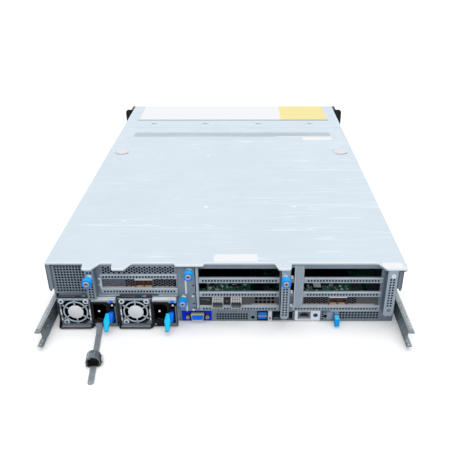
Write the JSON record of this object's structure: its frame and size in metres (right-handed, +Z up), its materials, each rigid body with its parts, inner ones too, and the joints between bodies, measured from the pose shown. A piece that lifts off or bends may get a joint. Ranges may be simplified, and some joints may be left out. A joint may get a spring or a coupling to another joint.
{
  "type": "2u rack server",
  "caption": "Two-unit rack server with a sliding top cover, perforated riser cages, hot-swap power supplies, fan wall, front drive carriers and side rails.",
  "frame": {"origin": "centre of the underside of the chassis, halfway between the rear edge of the cover and the front edge of the top panel", "axes": "+X to the right seen from behind, +Y to the front of the server (drive side), +Z up"},
  "size_m": [0.4826, 0.8536, 0.0882],
  "materials": {
    "cover_paint": "satin",
    "zinc_steel": "satin",
    "rail_steel": "satin",
    "dark_paint": "matte",
    "board_green": "matte",
    "blue_plastic": "gloss",
    "button_plastic": "matte",
    "white_plastic": "gloss",
    "black_plastic": "matte",
    "grey_plastic": "matte",
    "clamp_plastic": "gloss",
    "bright_steel": "polished",
    "aluminium": "satin"
  },
  "bodies": {
    "chassis": {"chassis_base": "zinc_steel", "rear_io_panel": "zinc_steel", "rear_vent_panel": "zinc_steel", "psu_bay": "zinc_steel", "front_top_panel": "cover_paint", "ear_left": "dark_paint", "ear_right": "dark_paint", "rail_left": "rail_steel", "rail_right": "rail_steel", "riser_cage_left": "zinc_steel", "riser_cage_middle": "zinc_steel", "riser_cage_right": "zinc_steel", "riser_boards": "board_green", "network_card_left": "bright_steel", "network_card_right": "bright_steel", "optical_card": "bright_steel", "display_port": "bright_steel", "usb_ports": "bright_steel", "lan_port": "bright_steel", "main_board": "board_green", "heatsinks": "aluminium", "memory_modules": "board_green", "fan_wall": "black_plastic", "drive_cage": "zinc_steel", "drive_backplane": "board_green"},
    "cover": {"top_cover": "cover_paint"},
    "cover_button_left": {"cover_button_left": "button_plastic"},
    "cover_button_right": {"cover_button_right": "button_plastic"},
    "id_button": {"id_button": "white_plastic"},
    "power_button": {"power_button": "white_plastic"},
    "mezzanine": {"mezzanine_module": "zinc_steel"},
    "mezzanine_lever": {"mezzanine_lever": "blue_plastic"},
    "psu_left": {"psu_left_housing": "zinc_steel", "psu_left_fan_guard": "bright_steel", "psu_left_inlet": "black_plastic", "cable_strap": "grey_plastic"},
    "psu_right": {"psu_right_housing": "zinc_steel", "psu_right_fan_guard": "bright_steel", "psu_right_inlet": "black_plastic"},
    "psu_left_rotor": {"psu_left_fan_rotor": "black_plastic"},
    "psu_right_rotor": {"psu_right_fan_rotor": "black_plastic"},
    "psu_left_latch": {"psu_left_latch": "blue_plastic"},
    "psu_right_latch": {"psu_right_latch": "blue_plastic"},
    "cable_clamp": {"cable_clamp": "clamp_plastic"},
    "thumbscrew_left": {"thumbscrew_left": "blue_plastic"},
    "thumbscrew_middle_upper": {"thumbscrew_middle_upper": "blue_plastic"},
    "thumbscrew_middle_lower": {"thumbscrew_middle_lower": "blue_plastic"},
    "thumbscrew_right": {"thumbscrew_right": "blue_plastic"},
    "fan_rotor_1": {"fan_rotor_1": "black_plastic"},
    "fan_rotor_2": {"fan_rotor_2": "black_plastic"},
    "fan_rotor_3": {"fan_rotor_3": "black_plastic"},
    "fan_rotor_4": {"fan_rotor_4": "black_plastic"},
    "drive_carrier_1": {"drive_carrier_1": "dark_paint"},
    "drive_carrier_2": {"drive_carrier_2": "dark_paint"},
    "drive_carrier_3": {"drive_carrier_3": "dark_paint"},
    "drive_carrier_4": {"drive_carrier_4": "dark_paint"},
    "drive_carrier_5": {"drive_carrier_5": "dark_paint"},
    "drive_carrier_6": {"drive_carrier_6": "dark_paint"},
    "drive_carrier_7": {"drive_carrier_7": "dark_paint"},
    "drive_carrier_8": {"drive_carrier_8": "dark_paint"}
  },
  "joints": [
    {"name": "cover_slide", "type": "slide", "parent": "chassis", "child": "cover", "axis": [0, -1, 0], "range_m": [0, 0.012]},
    {"name": "cover_button_left_press", "type": "slide", "parent": "cover", "child": "cover_button_left", "axis": [0, 0, -1], "range_m": [0, 0.0025], "stiffness_N_per_m": 600},
    {"name": "cover_button_right_press", "type": "slide", "parent": "cover", "child": "cover_button_right", "axis": [0, 0, -1], "range_m": [0, 0.0025], "stiffness_N_per_m": 600},
    {"name": "thumbscrew_left_turn", "type": "hinge", "parent": "chassis", "child": "thumbscrew_left", "pos_m": [-0.1634, -0.3745, 0.0745], "axis": [0, 1, 0], "continuous": true},
    {"name": "thumbscrew_middle_upper_turn", "type": "hinge", "parent": "chassis", "child": "thumbscrew_middle_upper", "pos_m": [-0.0442, -0.3605, 0.076], "axis": [0, 1, 0], "continuous": true},
    {"name": "thumbscrew_middle_lower_turn", "type": "hinge", "parent": "chassis", "child": "thumbscrew_middle_lower", "pos_m": [-0.0528, -0.3605, 0.0366], "axis": [0, 1, 0], "continuous": true},
    {"name": "thumbscrew_right_turn", "type": "hinge", "parent": "chassis", "child": "thumbscrew_right", "pos_m": [0.0732, -0.3745, 0.0744], "axis": [0, 1, 0], "continuous": true},
    {"name": "id_button_press", "type": "slide", "parent": "chassis", "child": "id_button", "axis": [0, 1, 0], "range_m": [0, 0.0015], "stiffness_N_per_m": 400},
    {"name": "power_button_press", "type": "slide", "parent": "chassis", "child": "power_button", "axis": [0, -1, 0], "range_m": [0, 0.0015], "stiffness_N_per_m": 400},
    {"name": "mezzanine_slide", "type": "slide", "parent": "chassis", "child": "mezzanine", "axis": [0, -1, 0], "range_m": [0, 0.09]},
    {"name": "mezzanine_lever_swing", "type": "hinge", "parent": "mezzanine", "child": "mezzanine_lever", "pos_m": [0.1403, -0.3541, 0.0084], "axis": [0, 0, -1], "range_deg": [0, 30]},
    {"name": "psu_left_slide", "type": "slide", "parent": "chassis", "child": "psu_left", "axis": [0, -1, 0], "range_m": [0, 0.18]},
    {"name": "psu_left_fan_spin", "type": "hinge", "parent": "psu_left", "child": "psu_left_rotor", "pos_m": [-0.1879, -0.3505, 0.0213], "axis": [0, 1, 0], "continuous": true},
    {"name": "psu_left_latch_swing", "type": "hinge", "parent": "psu_left", "child": "psu_left_latch", "pos_m": [-0.1425, -0.361, 0.0167], "axis": [0, 0, -1], "range_deg": [0, 6], "stiffness_Nm_per_rad": 0.6},
    {"name": "psu_right_slide", "type": "slide", "parent": "chassis", "child": "psu_right", "axis": [0, -1, 0], "range_m": [0, 0.18]},
    {"name": "psu_right_fan_spin", "type": "hinge", "parent": "psu_right", "child": "psu_right_rotor", "pos_m": [-0.1126, -0.3505, 0.0213], "axis": [0, 1, 0], "continuous": true},
    {"name": "psu_right_latch_swing", "type": "hinge", "parent": "psu_right", "child": "psu_right_latch", "pos_m": [-0.0672, -0.361, 0.0167], "axis": [0, 0, -1], "range_deg": [0, 6], "stiffness_Nm_per_rad": 0.6},
    {"name": "cable_clamp_slide", "type": "slide", "parent": "psu_left", "child": "cable_clamp", "axis": [0.108, -0.9942, 0], "range_m": [-0.035, 0.03]},
    {"name": "fan_1_spin", "type": "hinge", "parent": "chassis", "child": "fan_rotor_1", "pos_m": [-0.1596, 0.1065, 0.04285], "axis": [0, 1, 0], "continuous": true},
    {"name": "fan_2_spin", "type": "hinge", "parent": "chassis", "child": "fan_rotor_2", "pos_m": [-0.0532, 0.1065, 0.04285], "axis": [0, 1, 0], "continuous": true},
    {"name": "fan_3_spin", "type": "hinge", "parent": "chassis", "child": "fan_rotor_3", "pos_m": [0.0532, 0.1065, 0.04285], "axis": [0, 1, 0], "continuous": true},
    {"name": "fan_4_spin", "type": "hinge", "parent": "chassis", "child": "fan_rotor_4", "pos_m": [0.1596, 0.1065, 0.04285], "axis": [0, 1, 0], "continuous": true},
    {"name": "drive_carrier_1_slide", "type": "slide", "parent": "chassis", "child": "drive_carrier_1", "axis": [0, 1, 0], "range_m": [0, 0.16]},
    {"name": "drive_carrier_2_slide", "type": "slide", "parent": "chassis", "child": "drive_carrier_2", "axis": [0, 1, 0], "range_m": [0, 0.16]},
    {"name": "drive_carrier_3_slide", "type": "slide", "parent": "chassis", "child": "drive_carrier_3", "axis": [0, 1, 0], "range_m": [0, 0.16]},
    {"name": "drive_carrier_4_slide", "type": "slide", "parent": "chassis", "child": "drive_carrier_4", "axis": [0, 1, 0], "range_m": [0, 0.16]},
    {"name": "drive_carrier_5_slide", "type": "slide", "parent": "chassis", "child": "drive_carrier_5", "axis": [0, 1, 0], "range_m": [0, 0.16]},
    {"name": "drive_carrier_6_slide", "type": "slide", "parent": "chassis", "child": "drive_carrier_6", "axis": [0, 1, 0], "range_m": [0, 0.16]},
    {"name": "drive_carrier_7_slide", "type": "slide", "parent": "chassis", "child": "drive_carrier_7", "axis": [0, 1, 0], "range_m": [0, 0.16]},
    {"name": "drive_carrier_8_slide", "type": "slide", "parent": "chassis", "child": "drive_carrier_8", "axis": [0, 1, 0], "range_m": [0, 0.16]}
  ]
}
